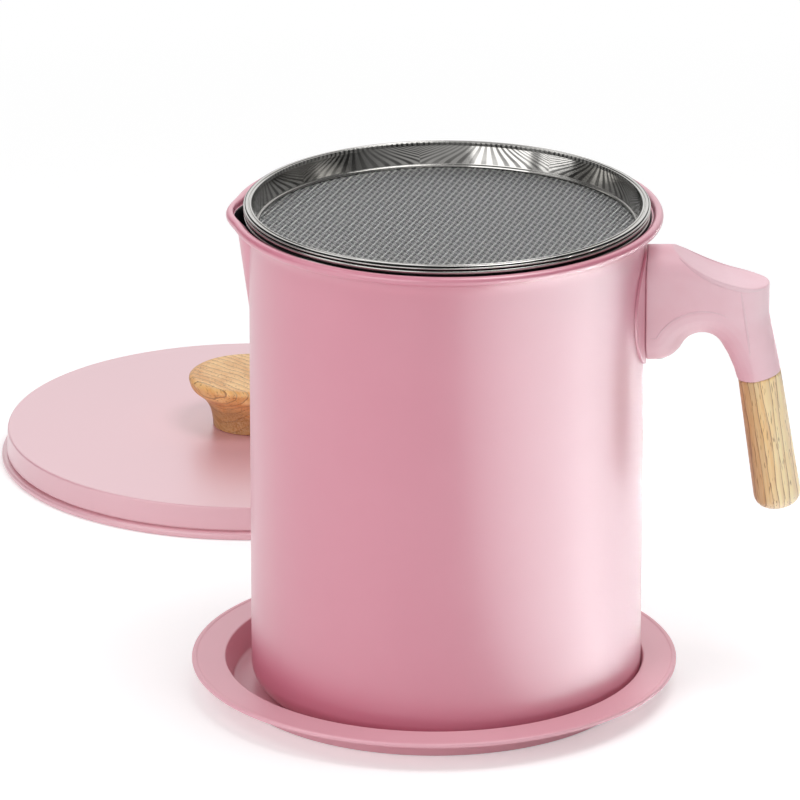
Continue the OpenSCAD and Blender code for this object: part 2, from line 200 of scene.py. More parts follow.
class Nodes:
    """Short ways to add and join shader nodes."""

    def __init__(self, name):
        self.material = bpy.data.materials.new(name)
        self.material.use_nodes = True
        self.tree = self.material.node_tree
        self.tree.nodes.clear()
        self.out = self.add("ShaderNodeOutputMaterial")
        self.shader = self.add("ShaderNodeBsdfPrincipled")
        self.join(self.shader.outputs[0], self.out.inputs["Surface"])

    def add(self, kind, **values):
        node = self.tree.nodes.new(kind)
        for key, value in values.items():
            setattr(node, key, value)
        return node

    def join(self, source, target):
        self.tree.links.new(source, target)

    def set(self, **values):
        for key, value in values.items():
            self.shader.inputs[key.replace("_", " ")].default_value = value

    def coords(self, scale=(1, 1, 1), turn=(0, 0, 0)):
        """Object coordinates in metres, turned and then scaled."""
        source = self.add("ShaderNodeTexCoord").outputs["Object"]
        rotate = self.add("ShaderNodeMapping", vector_type="POINT")
        rotate.inputs["Rotation"].default_value = turn
        self.join(source, rotate.inputs["Vector"])
        stretch = self.add("ShaderNodeMapping", vector_type="POINT")
        stretch.inputs["Scale"].default_value = scale
        self.join(rotate.outputs[0], stretch.inputs["Vector"])
        return stretch.outputs[0]

    def noise(self, vector, scale, detail=2.0, rough=0.5, twist=0.0):
        node = self.add("ShaderNodeTexNoise")
        node.inputs["Scale"].default_value = scale
        node.inputs["Detail"].default_value = detail
        node.inputs["Roughness"].default_value = rough
        node.inputs["Distortion"].default_value = twist
        self.join(vector, node.inputs["Vector"])
        return node.outputs["Fac"]

    def spread(self, source, low, high, to_low=0.0, to_high=1.0):
        """Maps low..high of the source to to_low..to_high."""
        node = self.add("ShaderNodeMapRange")
        for key, value in (("From Min", low), ("From Max", high), ("To Min", to_low), ("To Max", to_high)):
            node.inputs[key].default_value = value
        self.join(source, node.inputs["Value"])
        return node.outputs[0]

    def math(self, kind, a, b=0.0):
        """A math node on sockets or plain numbers."""
        node = self.add("ShaderNodeMath", operation=kind)
        for socket, value in zip(node.inputs, (a, b)):
            if isinstance(value, (int, float)):
                socket.default_value = value
            else:
                self.join(value, socket)
        return node.outputs[0]

    def blend(self, factor, a, b):
        """Mixes two colours, each a socket or a tuple."""
        node = self.add("ShaderNodeMix", data_type="RGBA")
        if isinstance(factor, (int, float)):
            node.inputs["Factor"].default_value = factor
        else:
            self.join(factor, node.inputs["Factor"])
        for key, value in (("A", a), ("B", b)):
            socket = [s for s in node.inputs if s.name == key and s.type == "RGBA"][0]
            if isinstance(value, tuple):
                socket.default_value = (*value, 1.0)
            else:
                self.join(value, socket)
        return [s for s in node.outputs if s.type == "RGBA"][0]

    def bump(self, height, depth):
        """Bump from a height of 0 to 1 that stands for depth in metres."""
        node = self.add("ShaderNodeBump")
        node.inputs["Strength"].default_value = 1.0
        node.inputs["Distance"].default_value = depth
        self.join(height, node.inputs["Height"])
        self.join(node.outputs[0], self.shader.inputs["Normal"])


# ---- materials -------------------------------------------------------------------

# paints: the two colours between which the enamel flows
PINK = ((0.64, 0.18, 0.267), (0.655, 0.195, 0.282))
# lid and tray: paler copies of the pot's pink, painted light for the stronger light that falls on them
LID_PINK_LIT = ((0.76, 0.40, 0.46), (0.77, 0.415, 0.475))
TRAY_PINK_LIT = ((0.84, 0.43, 0.505), (0.85, 0.45, 0.52))
# plastic of the handle's arm, the painted highlight of its creases, and the pale wear on its grain
ARM_PINK = (0.87, 0.52, 0.59)
ARM_PALE = (0.91, 0.60, 0.67)
# painted highlight: the paler plastic of the raised creases stands in for the light they catch
CREASE_HIGHLIGHT_PINK = (0.80, 0.50, 0.57)
CREASE_HIGHLIGHT_PALE = (0.86, 0.60, 0.66)
GRAIN_PALE = (0.86, 0.58, 0.64)


def paint_material(name, colours, gloss):
    """Satin enamel: faint flow of the colour, fine orange peel, a clear layer of weight gloss."""
    m = Nodes(name)
    flow = m.noise(m.coords(), 24.0, detail=3.0)
    m.join(m.blend(m.spread(flow, 0.35, 0.65), *colours), m.shader.inputs["Base Color"])
    peel = m.noise(m.coords(), 900.0, detail=2.0)
    m.join(m.spread(flow, 0.3, 0.7, 0.40, 0.46), m.shader.inputs["Roughness"])
    m.bump(peel, 0.005 * MM)
    m.set(Coat_Weight=gloss, Coat_Roughness=0.34, Coat_IOR=2.0)
    return m.material


def coating_material():
    """Black non-stick coating with a fine speckle."""
    m = Nodes("black_coating")
    speck = m.noise(m.coords(), 2600.0, detail=1.0)
    m.join(m.blend(m.spread(speck, 0.62, 0.74), (0.012, 0.012, 0.013), (0.05, 0.05, 0.052)),
           m.shader.inputs["Base Color"])
    m.join(m.spread(speck, 0.3, 0.7, 0.36, 0.5), m.shader.inputs["Roughness"])
    m.bump(speck, 0.01 * MM)
    return m.material


def plastic_material(name, colour, pale):
    """Matte moulded plastic with an eroded grain."""
    m = Nodes(name)
    cloud = m.noise(m.coords(), 60.0, detail=3.0)
    grain = m.noise(m.coords(), 1900.0, detail=3.0, rough=0.6)
    base = m.blend(m.spread(cloud, 0.3, 0.7), colour, pale)
    m.join(m.blend(m.spread(grain, 0.35, 0.7, 0.0, 0.25), base, GRAIN_PALE),
           m.shader.inputs["Base Color"])
    m.join(m.spread(grain, 0.3, 0.7, 0.46, 0.6), m.shader.inputs["Roughness"])
    m.bump(grain, 0.045 * MM)
    m.set(Coat_Weight=0.35, Coat_Roughness=0.45, Coat_IOR=1.7)
    return m.material


def steel_material(name, colour, low, high, lines, reflection_fans=False):
    """Polished steel with fine turning lines that run round the vertical."""
    m = Nodes(name)
    turned = m.noise(m.coords(scale=(0.02, 0.02, 1.0)), lines, detail=3.0)
    smudge = m.noise(m.coords(), 90.0, detail=3.0)
    both = m.math("MULTIPLY", turned, smudge)
    m.join(m.spread(both, 0.1, 0.4, low, high), m.shader.inputs["Roughness"])
    base = m.blend(m.spread(smudge, 0.3, 0.7), colour, tuple(c * 0.92 for c in colour))
    # painted reflection: dark fans that stand in for the weave mirrored in the strainer's wall
    if reflection_fans:
        base = m.blend(painted_mesh_reflection(m), base, tuple(c * 0.16 for c in colour))
    m.join(base, m.shader.inputs["Base Color"])
    m.bump(turned, 0.002 * MM)
    m.set(Metallic=1.0)
    return m.material


REFLECTION_FAN_TURN = math.radians(41)            # one fan of the painted reflection of the mesh on the strainer's wall
REFLECTION_FAN_START = 0.22                       # where the first fan begins, in fans
REFLECTION_FAN_LINES = 21
WALL_LOW = mesh_hi.z + 0.2 * MM        # the painted reflection runs from here up to the strainer's rim
WALL_HIGH = STRAINER_Z - 1.0 * MM


def painted_mesh_reflection(m):
    """Painted reflection of the mesh inside the strainer's wall: dark curved lines, upright in the middle
    of each fan.
    """
    place = m.add("ShaderNodeSeparateXYZ")
    m.join(m.coords(), place.inputs[0])
    x, y, z = place.outputs
    angle = m.math("DIVIDE", m.math("ADD", m.math("ARCTAN2", y, x), math.pi), REFLECTION_FAN_TURN)
    across = m.math("SUBTRACT", m.math("FRACT", m.math("ADD", angle, REFLECTION_FAN_START)), 0.5)
    rise = m.spread(z, WALL_LOW, WALL_HIGH)
    lean = m.math("ADD", m.math("MULTIPLY", m.math("MULTIPLY", rise, rise), 0.75), 0.5)
    turns = m.math("MULTIPLY", m.math("MULTIPLY", across, lean), 2 * math.pi * REFLECTION_FAN_LINES)
    wave = m.math("SINE", turns)
    reach = m.math("SQRT", m.math("ADD", m.math("MULTIPLY", x, x), m.math("MULTIPLY", y, y)))
    inner = m.spread(reach, STRAINER_R - 2.6 * MM, STRAINER_R - 2.4 * MM, 1.0, 0.0)
    # patchy strength of the painted reflection
    reflection_patchiness = m.spread(m.noise(m.coords(), 70.0), 0.35, 0.6, 0.35, 0.95)
    above = m.math("MULTIPLY", inner, m.spread(z, WALL_LOW + 0.9 * MM, WALL_LOW + 1.2 * MM))
    return m.math("MULTIPLY", m.math("MULTIPLY", m.spread(wave, -0.3, 0.5), above), reflection_patchiness)


# painted sheen: bright bands on the wire that stand in for the moiré of light on the weave
WIRE_MOIRE_SHEEN = ((16, 150.0, 0.75), (-38, 118.0, 0.45))     # turn in degrees, lines, strength


def wire_material():
    """Woven wire: brighter and darker stripes of painted sheen, standing in for the moiré of light on the
    weave.
    """
    m = Nodes("wire_steel")
    speck = m.noise(m.coords(), 700.0, detail=3.0)
    base = m.blend(m.spread(speck, 0.3, 0.7), (0.17, 0.17, 0.172), (0.34, 0.34, 0.34))
    for turn, lines, share in WIRE_MOIRE_SHEEN:
        sheen_band = m.add("ShaderNodeTexWave", wave_type="BANDS", bands_direction="X")
        for key, value in (("Scale", lines), ("Distortion", 0.6), ("Detail", 1.0)):
            sheen_band.inputs[key].default_value = value
        m.join(m.coords(turn=(0, 0, math.radians(turn))), sheen_band.inputs["Vector"])
        bright = m.spread(sheen_band.outputs["Fac"], 0.45, 1.0, 0.0, share)
        base = m.blend(bright, base, (0.80, 0.80, 0.79))
    m.join(base, m.shader.inputs["Base Color"])
    m.join(m.spread(speck, 0.3, 0.7, 0.28, 0.42), m.shader.inputs["Roughness"])
    m.set(Metallic=1.0)
    return m.material


def plain_metal(name, colour, roughness):
    m = Nodes(name)
    mark = m.noise(m.coords(), 500.0, detail=4.0)
    m.join(m.blend(m.spread(mark, 0.3, 0.7), colour, tuple(c * 0.8 for c in colour)),
           m.shader.inputs["Base Color"])
    m.join(m.spread(mark, 0.3, 0.7, roughness, roughness + 0.15), m.shader.inputs["Roughness"])
    m.bump(mark, 0.004 * MM)
    m.set(Metallic=1.0)
    return m.material


def rubber_material():
    m = Nodes("silicone")
    mark = m.noise(m.coords(), 900.0, detail=2.0)
    m.join(m.blend(mark, (0.02, 0.02, 0.02), (0.05, 0.05, 0.05)), m.shader.inputs["Base Color"])
    m.join(m.spread(mark, 0.3, 0.7, 0.5, 0.7), m.shader.inputs["Roughness"])
    m.bump(mark, 0.01 * MM)
    return m.material


# painted shade in the wood: darker on the grip's left side, towards the pot, and on the knob's neck under
# its head
WOOD_PAINTED_SHADE = (0.36, 0.145, 0.03)
LATE_WOOD = (0.58, 0.26, 0.07)         # brown and dark parts of each growth line
LINE_WOOD = (0.26, 0.085, 0.016)
PORE_WOOD = (0.28, 0.10, 0.022)
FIBRE_PALE = (0.97, 0.80, 0.52)
SHADE_EDGE_WAVES = 12 * MM                  # how far the streaks push the edge of the painted shade about


def wood_material(name, fibres, shift, lines, pale, tan, varnish, shade_plane):
    """Light oak with its fibres along one direction: growth lines, streaks and dark pores.

    shade_plane is a plane where the painted shade fades out: its normal, its place along it and the
    width of the change, in metres.
    """
    m = Nodes(name)
    turn = tuple(Vector(fibres).rotation_difference(Vector((0.0, 0.0, 1.0))).to_euler())
    offset = m.add("ShaderNodeVectorMath", operation="ADD")
    offset.inputs[1].default_value = shift
    m.join(m.coords(scale=(1.0, 1.0, 0.2), turn=turn), offset.inputs[0])
    wide = offset.outputs[0]
    rings = m.add("ShaderNodeTexWave", wave_type="BANDS", bands_direction="X", wave_profile="SAW")
    for key, value in (("Scale", lines), ("Distortion", 6.5), ("Detail", 2.5),
                       ("Detail Scale", 0.8), ("Detail Roughness", 0.55)):
        rings.inputs[key].default_value = value
    m.join(wide, rings.inputs["Vector"])
    bands = m.noise(wide, 150.0, detail=3.0, rough=0.55, twist=0.6)
    fibre = m.noise(m.coords(scale=(1.0, 1.0, 0.04), turn=turn), 2600.0, detail=2.0)
    pore = m.noise(m.coords(scale=(1.0, 1.0, 0.12), turn=turn), 1900.0, detail=1.0)
    base = m.blend(m.spread(bands, 0.38, 0.62), pale, tan)
    normal, place, width = shade_plane
    depth = m.add("ShaderNodeVectorMath", operation="DOT_PRODUCT")
    depth.inputs[1].default_value = normal
    m.join(m.coords(), depth.inputs[0])
    waves = m.math("MULTIPLY", m.math("SUBTRACT", bands, 0.5), SHADE_EDGE_WAVES)
    edge = m.math("ADD", depth.outputs["Value"], waves)
    # painted shade, darker on the low side of the plane
    base = m.blend(m.spread(edge, place - width / 2, place + width / 2, 0.85, 0.0), base, WOOD_PAINTED_SHADE)
    line = rings.outputs["Fac"]
    base = m.blend(m.spread(line, 0.30, 1.0, 0.0, 0.5), base, LATE_WOOD)
    base = m.blend(m.spread(line, 0.84, 0.95, 0.0, 0.8), base, LINE_WOOD)
    base = m.blend(m.spread(fibre, 0.35, 0.7, 0.0, 0.3), base, FIBRE_PALE)
    base = m.blend(m.spread(pore, 0.62, 0.72, 0.0, 0.75), base, PORE_WOOD)
    m.join(base, m.shader.inputs["Base Color"])
    m.join(m.spread(fibre, 0.3, 0.7, 0.38, 0.52), m.shader.inputs["Roughness"])
    m.bump(m.math("ADD", m.math("MULTIPLY", fibre, 0.5), m.math("MULTIPLY", pore, -0.5)), 0.04 * MM)
    m.set(Coat_Weight=varnish, Coat_Roughness=0.4)
    return m.material


# ---- tray ------------------------------------------------------------------------

TRAY_FLANGE = 11.2                     # mm, width of the flange with its edge
TRAY_ROLL = 1.6                        # mm, height of the rolled edge
FLANGE_LOW = 0.95                      # mm, from the flange's top to its underside


def make_tray(paint):
    """Pressed dish: flat floor, steep recess wall, wide flange and an edge rolled down."""
    edge = TRAY_R / MM
    top = TRAY_Z / MM
    sheet = SHEET / MM
    recess = edge - TRAY_FLANGE
    low = top - FLANGE_LOW
    inside = [(0.0, sheet), (recess - 4.4, sheet, 0.5), (recess - 2.6, sheet + 0.25, 1.3),
              (recess, top, 0.6)]
    rolled = [(edge - 1.9, top - 0.25, 0.4), (edge - 1.4, top, 0.4), (edge, top - 0.05, 0.75),
              (edge - 0.05, top - TRAY_ROLL, 0.6), (edge - 1.25, top - TRAY_ROLL, 0.3),
              (edge - 1.3, low, 0.2)]
    under = [(recess + 0.9, low, 1.4), (recess - 1.9, 0.5, 1.0), (recess - 2.8, 0.0, 0.5), (0.0, 0.0)]
    outline = rounded(inside + rolled + under)
    lathe("tray_dish", outline, TRAY_AT, 0.0, paint, "tray", ["tray"])


# ---- pot -------------------------------------------------------------------------

FLARE_Z = RIM_Z - 8.5 * MM             # where the wall turns outwards
FLARE_RUN = 4.4 * MM                   # how far out the middle of the rolled rim lies
LIP_LOW = FLARE_Z - 26.0 * MM          # the pouring lip starts here in a point
LIP_PUSH = (3.5 * MM, 1.5 * MM)        # how far the lip stands out, on the wall and at the rim
LIP_HALF = (9.6 * MM, 16.0 * MM)       # half its width there
LIP_EDGE = (1.0, 2.0)                  # from a crisp crease on the wall to a soft swell at the rim
LIP_ARC = math.radians(16)             # the mesh is finer this far to both sides of the lip
FINE_STEP, PLAIN_STEP = math.radians(0.4), math.radians(1.25)


def pot_place(t, r, z):
    """Puts a point of the pot's outline at angle t, pushed out where the lip is."""
    side = r * math.sin(t)
    if math.cos(t) < 0 and z > LIP_LOW:
        rise = min(1.0, (z - LIP_LOW) / (FLARE_Z - LIP_LOW))
        out = min(1.0, max(0.0, (r - BODY_R) / FLARE_RUN))
        out = out * out * (3 - 2 * out)
        push, half, edge = ((1 - out) * k[0] + out * k[1] for k in (LIP_PUSH, LIP_HALF, LIP_EDGE))
        near = 1 - (side / (half * rise)) ** 2
        if near > 0:
            r += push * rise * near ** edge
    return (r * math.cos(t), r * math.sin(t), z)


def pot_angles():
    """Angles round the pot, closer together at the lip."""
    out, t = [], 0.0
    while t < 2 * math.pi - 1e-4:
        out.append(t)
        t += FINE_STEP if abs(t - math.pi) < LIP_ARC else PLAIN_STEP
    return out


# in mm
CORNER = 8.0                           # rounding between the pot's floor and its wall
DISH = 0.8                             # rise of the floor inside the ring on which the pot stands
FOOT_IN = 17.5                         # from the wall to that ring
FLARE_CURVE = 8.0
BEAD = 1.6                             # radius of the rolled rim
COATING = 0.12                         # the coating is a thin skin over the inside
COATING_SINK = 0.05                    # and its back lies this far inside the sheet
COATING_START = 131                    # degrees on the flare's curve, where the coating ends
FLARE_END = 126                        # degrees on that curve, where the bead takes over


def make_pot(paint, coating):
    """The pot's sheet with its flare and bead, and the coating on its inside."""
    wall = BODY_R / MM
    low = POT_Z / MM
    top = RIM_Z / MM
    flare = (wall + FLARE_CURVE, FLARE_Z / MM)
    sheet = SHEET / MM
    rings = [LIP_LOW / MM + k for k in range(26)]

    def curve(x, z, radius, start, end, steps):
        return [(a * MM, b * MM) for a, b in arc(x, z, radius, start, end, steps)]

    def lining(inset, floor, corner):
        """The inside of wall and floor, from the flare down, this far inside the outer wall."""
        return rounded([(wall - inset, z) for z in rings[::-1]]
                       + [(wall - inset, floor, corner), (0.0, floor)])

    foot = wall - FOOT_IN
    outside = rounded([(0.0, low + DISH), (foot - 1, low + DISH, 0.6), (foot, low, 0.6),
                       (wall, low, CORNER), (wall, LIP_LOW / MM - 1)] + [(wall, z) for z in rings])
    outline = (outside + curve(*flare, FLARE_CURVE, 180, FLARE_END, 12)
               + curve(wall + FLARE_RUN / MM, top - BEAD, BEAD, -140, 200, 30)
               + curve(*flare, FLARE_CURVE + sheet, FLARE_END + 2, 180, 12)
               + lining(sheet, low + 2 * sheet, CORNER - sheet))
    angles = pot_angles()
    verts, faces = lathe_mesh(outline, angles, pot_place, False)
    add_mesh("pot_shell", verts, faces, paint, "pot", ["pot_body"])
    front, behind = sheet + COATING, sheet - COATING_SINK
    outline = (curve(*flare, FLARE_CURVE + front, COATING_START, 180, 14)
               + lining(front, low + 2 * sheet + COATING, CORNER - front)
               + lining(behind, low + 2 * sheet - COATING_SINK, CORNER - sheet)[::-1]
               + curve(*flare, FLARE_CURVE + behind, 180, COATING_START, 14))
    verts, faces = lathe_mesh(outline, angles, pot_place, True)
    add_mesh("pot_coating", verts, faces, coating, "pot", ["pot_body"])


# ---- strainer --------------------------------------------------------------------

WIRE_PITCH = 1.0 * MM
WIRE_R = 0.2 * MM
WIRE_SIDES = 3
WEAVE_TURN = math.radians(24)          # the weave lies askew to the handle
WEAVE_EDGE = 0.6 * MM                  # the wires end this far inside the mesh's edge


# painted shade: black rings laid in the hoop's grooves, where only shade falls
GROOVE_SHADE_RINGS = ((-0.5, -0.1, 0.5), (-1.6, -1.1, 0.7), (-3.5, -2.7, 0.7))     # mm: low, high, depth


def make_strainer(steel, dark, wire):
    """Hoop with ridges and a rolled rim, black rings of painted shade in its grooves, and the weave."""
    r = STRAINER_R / MM
    low = (mesh_hi.z - STRAINER_Z) / MM
    wall = [(r - 4.5, low), (r - 3.6, low, 0.3), (r - 1.9, -4.6, 0.4), (r - 0.1, -4.4, 0.45),
            (r - 0.1, -3.6, 0.3)]
    ridges = [(r - 0.95, -3.45, 0.1), (r - 0.95, -2.75, 0.1), (r, -2.65, 0.4), (r, -1.65, 0.4),
              (r - 0.95, -1.55, 0.1), (r - 0.95, -1.15, 0.1), (r, -1.05, 0.3), (r, -0.55, 0.25),
              (r - 0.65, -0.45, 0.1), (r - 0.65, -0.15, 0.1)]
    rim = [(r - 0.8, 0.0, 0.1), (r - 1.5, 0.0, 0.4), (r - 1.7, -0.4, 0.2), (r - 2.0, -0.4, 0.2),
           (r - 2.15, 0.0, 0.25), (r - 2.7, 0.0, 0.3), (r - 2.75, -1.2, 0.5)]
    fold = [(r - 4.1, low + 1.1, 0.3), (r - 4.2, low + 0.9, 0.2), (r - 4.7, low + 0.95, 0.3),
            (r - 4.9, low + 0.3, 0.3), (r - 4.7, low, 0.2), (r - 4.5, low)]
    outline = rounded(wall + ridges + rim + fold)
    lathe("strainer_hoop", outline[:-1], (0.0, 0.0), STRAINER_Z, steel, "strainer",
          ["strainer_rim"], closed=True, n=360)
    # the black rings of painted shade
    for i, (low, high, deep) in enumerate(GROOVE_SHADE_RINGS):
        groove = [((r - x) * MM, z * MM) for x, z in ((1.05, low), (deep, low), (deep, high), (1.05, high))]
        lathe("strainer_groove_shade_%d" % i, groove, (0.0, 0.0), STRAINER_Z, dark, "strainer",
              ["strainer_rim"], closed=True, n=360)
    make_weave("mesh_warp", 0, wire)
    make_weave("mesh_weft", 1, wire)


def make_weave(name, across, wire):
    """All wires of one direction of the plain weave, cut off round at the rim."""
    reach = MESH_R - WEAVE_EDGE
    half = int(reach / WIRE_PITCH)
    verts, faces = [], []
    for i in range(-half, half + 1):
        side = i * WIRE_PITCH
        run = math.sqrt(max(0.0, reach * reach - side * side))
        last = int(run / (WIRE_PITCH / 2))
        if last < 2:
            continue
        base = len(verts)
        for k in range(-last, last + 1):
            along = k * WIRE_PITCH / 2
            if abs(k) == last:
                along = math.copysign(run, k)
            weave = math.cos(math.pi * (k / 2 + i + across))
            height = MESH_Z + weave * WIRE_R * 0.95
            for s in range(WIRE_SIDES):
                t = 2 * math.pi * (s + 0.5) / WIRE_SIDES
                p = (along, side + WIRE_R * math.cos(t))
                x, y = p if across == 0 else (p[1], p[0])
                verts.append((x * math.cos(WEAVE_TURN) - y * math.sin(WEAVE_TURN),
                              x * math.sin(WEAVE_TURN) + y * math.cos(WEAVE_TURN),
                              height + WIRE_R * math.sin(t)))
        rings = 2 * last + 1
        for k in range(rings - 1):
            for s in range(WIRE_SIDES):
                a = base + k * WIRE_SIDES + s
                b = base + k * WIRE_SIDES + (s + 1) % WIRE_SIDES
                quad = (a, b, b + WIRE_SIDES, a + WIRE_SIDES)
                faces.append(quad[::-1] if across == 0 else quad)
        for k, flip in ((0, across == 0), (rings - 1, across == 1)):
            cap = [base + k * WIRE_SIDES + s for s in range(WIRE_SIDES)]
            faces.append(tuple(cap if flip else cap[::-1]))
    add_mesh(name, verts, faces, wire, "strainer", ["strainer_mesh"])


# ---- lid -------------------------------------------------------------------------

KNOB_FOOT = 13.8                       # mm, radius of the knob where it meets the lid


def make_lid(paint, wood):
    """Flat cover with a short wall, a groove and a rolled edge, and its turned knob."""
    r = LID_R / MM
    top = LID_Z / MM
    under = top - SHEET / MM
    wall = [(0.0, top), (r - 2.3, top, 0.7), (r - 1.9, 3.35, 0.2)]
    groove = [(r - 2.75, 3.1, 0.15), (r - 2.75, 2.75, 0.15)]
    rolled = [(r - 0.1, 2.6, 1.1), (r, 0.0, 1.2), (r - 2.5, 0.0, 0.9), (r - 3.3, 2.3, 0.4)]
    inside = [(r - 3.4, under, 0.8), (0.0, under)]
    outline = rounded(wall + groove + rolled + inside)
    lathe("lid_cover", outline, LID_AT, 0.0, paint, "lid", ["lid_shell"])
    foot, edge, h = KNOB_FOOT, KNOB_R / MM, KNOB_H / MM
    neck = [(0.0, 0.0), (foot - 0.1, 0.0, 0.5), (foot + 0.05, h * 0.12, 6.0),
            (foot + 0.9, h * 0.36, 9.0), (foot + 3.4, h * 0.57, 9.0)]
    head = [(edge - 0.9, h * 0.745, 4.0), (edge + 0.05, h * 0.93, 1.6), (edge - 1.6, h * 0.985, 1.6),
            (0.0, h)]
    knob = rounded(neck + head)
    lathe("knob_turning", knob, LID_AT, knob_lo.z, wood, "lid", ["lid_knob"], n=128)


# ---- handle ----------------------------------------------------------------------

GRIP_LEAN = math.radians(8.3)
GRIP_WAY = Vector((-math.sin(GRIP_LEAN), 0.0, math.cos(GRIP_LEAN)))
# the grip's painted shade lies on its left side, the knob's on its lower half, the neck
GRIP_SHADE_WAY = Vector((math.cos(GRIP_LEAN), 0.0, math.sin(GRIP_LEAN)))
GRIP_SHADE_PLANE = (GRIP_SHADE_WAY, GRIP_SHADE_WAY.dot((grip_lo + grip_hi) / 2) - 4.2 * MM, 9.0 * MM)
KNOB_SHADE_PLANE = (Vector((0.0, 0.0, 1.0)), knob_lo.z + 0.5 * KNOB_H, 4.0 * MM)


def soften(source, name, voxel, rounds, material, body, replaced):
    """A copy of a CAD piece with its facets and edges melted into soft moulded ones."""
    piece = bpy.data.objects.new(name, source.data.copy())
    bpy.context.scene.collection.objects.link(piece)
    remesh = piece.modifiers.new("even", "REMESH")
    remesh.mode = "VOXEL"
    remesh.voxel_size = voxel
    smooth = piece.modifiers.new("soften", "SMOOTH")
    smooth.factor = 0.5
    smooth.iterations = rounds
    graph = bpy.context.evaluated_depsgraph_get()
    mesh = bpy.data.meshes.new_from_object(piece.evaluated_get(graph))
    piece.modifiers.clear()
    piece.data = mesh
    mesh.materials.clear()
    mesh.materials.append(material)
    mesh.shade_smooth()
    dress(piece, body, replaced)
    return piece


BESIDE = 0.03                          # rays to the arm's surface start this far to its side
CREASE_SIDES = 8


def crease(name, arm, line, width, rise, material):
    """A fine raised line on both sides of the arm, laid on its surface through points x, z.

    width and rise are in mm, and both fade out at the line's ends.
    """
    points = [v.co for v in arm.data.vertices]
    tree = BVHTree.FromPolygons(points, [p.vertices for p in arm.data.polygons])
    verts, faces = [], []
    for side in (-1, 1):
        base = len(verts)
        for k, (x, z) in enumerate(line):
            spot = tree.ray_cast(Vector((x * MM, side * BESIDE, z * MM)), Vector((0.0, -side, 0.0)))[0]
            a, b = line[max(0, k - 1)], line[min(len(line) - 1, k + 1)]
            along = Vector((b[0] - a[0], 0.0, b[1] - a[1])).normalized()
            up = Vector((-along.z, 0.0, along.x))
            fade = math.sin(math.pi * (k + 0.5) / len(line)) ** 0.5 * MM
            for j in range(CREASE_SIDES):
                t = 2 * math.pi * j / CREASE_SIDES
                verts.append(spot + up * (width * fade * math.cos(t))
                             + Vector((0.0, side, 0.0)) * (rise * fade * math.sin(t)))
        for k in range(len(line) - 1):
            for j in range(CREASE_SIDES):
                a = base + k * CREASE_SIDES + j
                b = base + k * CREASE_SIDES + (j + 1) % CREASE_SIDES
                quad = (a, b, b + CREASE_SIDES, a + CREASE_SIDES)
                faces.append(quad if side < 0 else quad[::-1])
        for k, flip in ((0, side > 0), (len(line) - 1, side < 0)):
            cap = [base + k * CREASE_SIDES + j for j in range(CREASE_SIDES)]
            faces.append(tuple(cap if flip else cap[::-1]))
    add_mesh(name, [tuple(v) for v in verts], faces, material, "pot", ["handle_arm"])


# mm, measured from the pot's wall and the arm's top
ARCH_AT, ARCH_R = (19.13, -36.8), 17.2                  # crease over the finger's arch
FOOT_LINE = (1.8, -29.0)                                # where it starts at the arm's foot
BACK_LINE = (31.4, -13.0)                               # top of the crease along the back
HOLLOW_AT, HOLLOW_R = (41.0, -13.0), 47.0               # lowest point of the thumb hollow


def make_handle(plastic, pale, wood):
    """Softened copies of arm and grip, and the arm's fine creases in a paler plastic: a painted highlight.
    """
    arm = soften(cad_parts["handle_arm"], "arm_moulding", 0.35 * MM, 4, plastic, "pot",
                 ["handle_arm"])
    soften(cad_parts["handle_grip"], "grip_turning", 0.4 * MM, 6, wood, "pot",
           ["handle_grip"])
    wall = BODY_R / MM
    top = arm_hi.z / MM
    # the creases get the paler plastic, a painted highlight along each edge
    # where the rounded underside runs into the flat sides
    around = [(wall + FOOT_LINE[0] + k, top + FOOT_LINE[1]) for k in range(3)]
    around += arc(wall + ARCH_AT[0], top + ARCH_AT[1], ARCH_R, 152, 62, 24)
    crease("arm_lower_crease", arm, around, 0.35, 0.2, pale)
    # where the sides turn into the rounded back
    back = [(wall + BACK_LINE[0] + 0.15 * k, top + BACK_LINE[1] - k) for k in range(23)]
    crease("arm_back_crease", arm, back, 0.45, 0.25, pale)
    # near edge of the thumb hollow
    hollow = []
    for k in range(36):
        x = 11 + 0.8 * k
        rise = HOLLOW_R - math.sqrt(HOLLOW_R ** 2 - (x - HOLLOW_AT[0]) ** 2)
        hollow.append((wall + x, top + HOLLOW_AT[1] + rise))
    crease("arm_hollow_crease", arm, hollow, 0.9, 0.3, pale)


def finish_small_parts(paint, steel, screw, brass, rubber):
    """Materials for the CAD pieces that are shown as they are."""
    for node, material in (("handle_bracket", paint), ("mesh_ring", steel), ("handle_screw", screw),
                           ("grip_stud", screw), ("knob_screw", screw), ("knob_insert", brass),
                           ("knob_washer", rubber)):
        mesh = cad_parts[node].data
        mesh.materials.clear()
        mesh.materials.append(material)


# ---- floor, lights and world -----------------------------------------------------

FLOOR_HALF = 8.0
FLOOR_Z = -0.05 * MM                   # just below the feet of tray and lid
SHADE_NEAR = 0.30                      # the floor shows shadows out to here
SHADE_FAR = 0.75                       # and is plain background from here on
FLOOR_LIFT = 0.34                      # light that the near floor adds for the camera and in reflections


